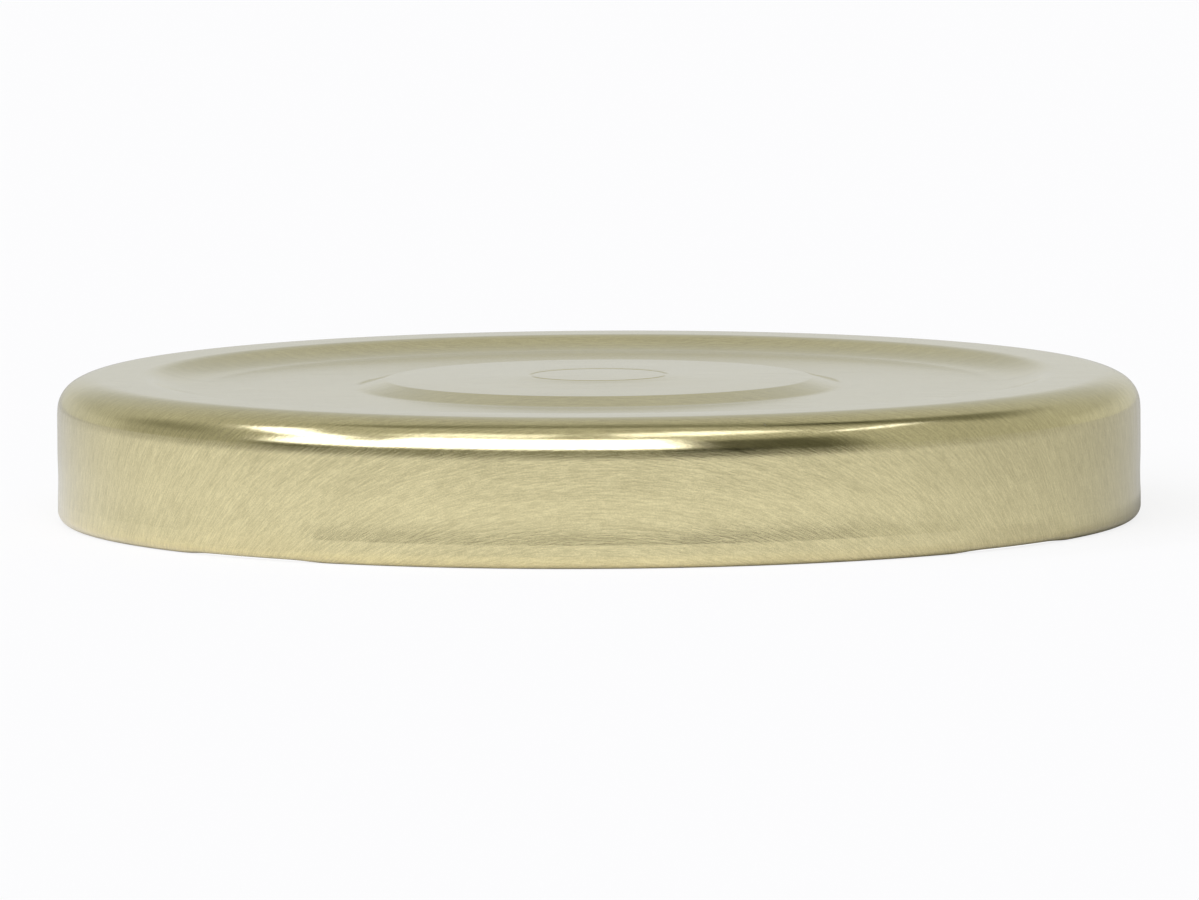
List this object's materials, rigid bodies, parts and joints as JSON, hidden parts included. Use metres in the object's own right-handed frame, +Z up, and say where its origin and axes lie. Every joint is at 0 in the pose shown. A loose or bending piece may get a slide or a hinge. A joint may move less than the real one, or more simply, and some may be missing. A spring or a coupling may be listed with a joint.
{
  "type": "lug cap",
  "caption": "Round pressed sheet metal lid with a stepped panel, a raised safety button, a rolled edge flattened into inward lugs, and a sealing ring under its rim.",
  "frame": {"origin": "on the cap's axis at the level of the rolled bottom edge that it stands on", "axes": "+Z up along the cap's axis, from the open end to the panel; +X and +Y each through the middle of a lug"},
  "size_m": [0.0732, 0.0732, 0.0098],
  "materials": {
    "gold_lacquered_tinplate": "pale gold clear lacquer over bright rolled tinplate, with fine rolling streaks",
    "sealing_compound": "flowed and cured sealing compound, smooth and satin, off white"
  },
  "bodies": {
    "root": {"cap_shell": "gold_lacquered_tinplate", "sealing_gasket": "sealing_compound"}
  },
  "joints": []
}
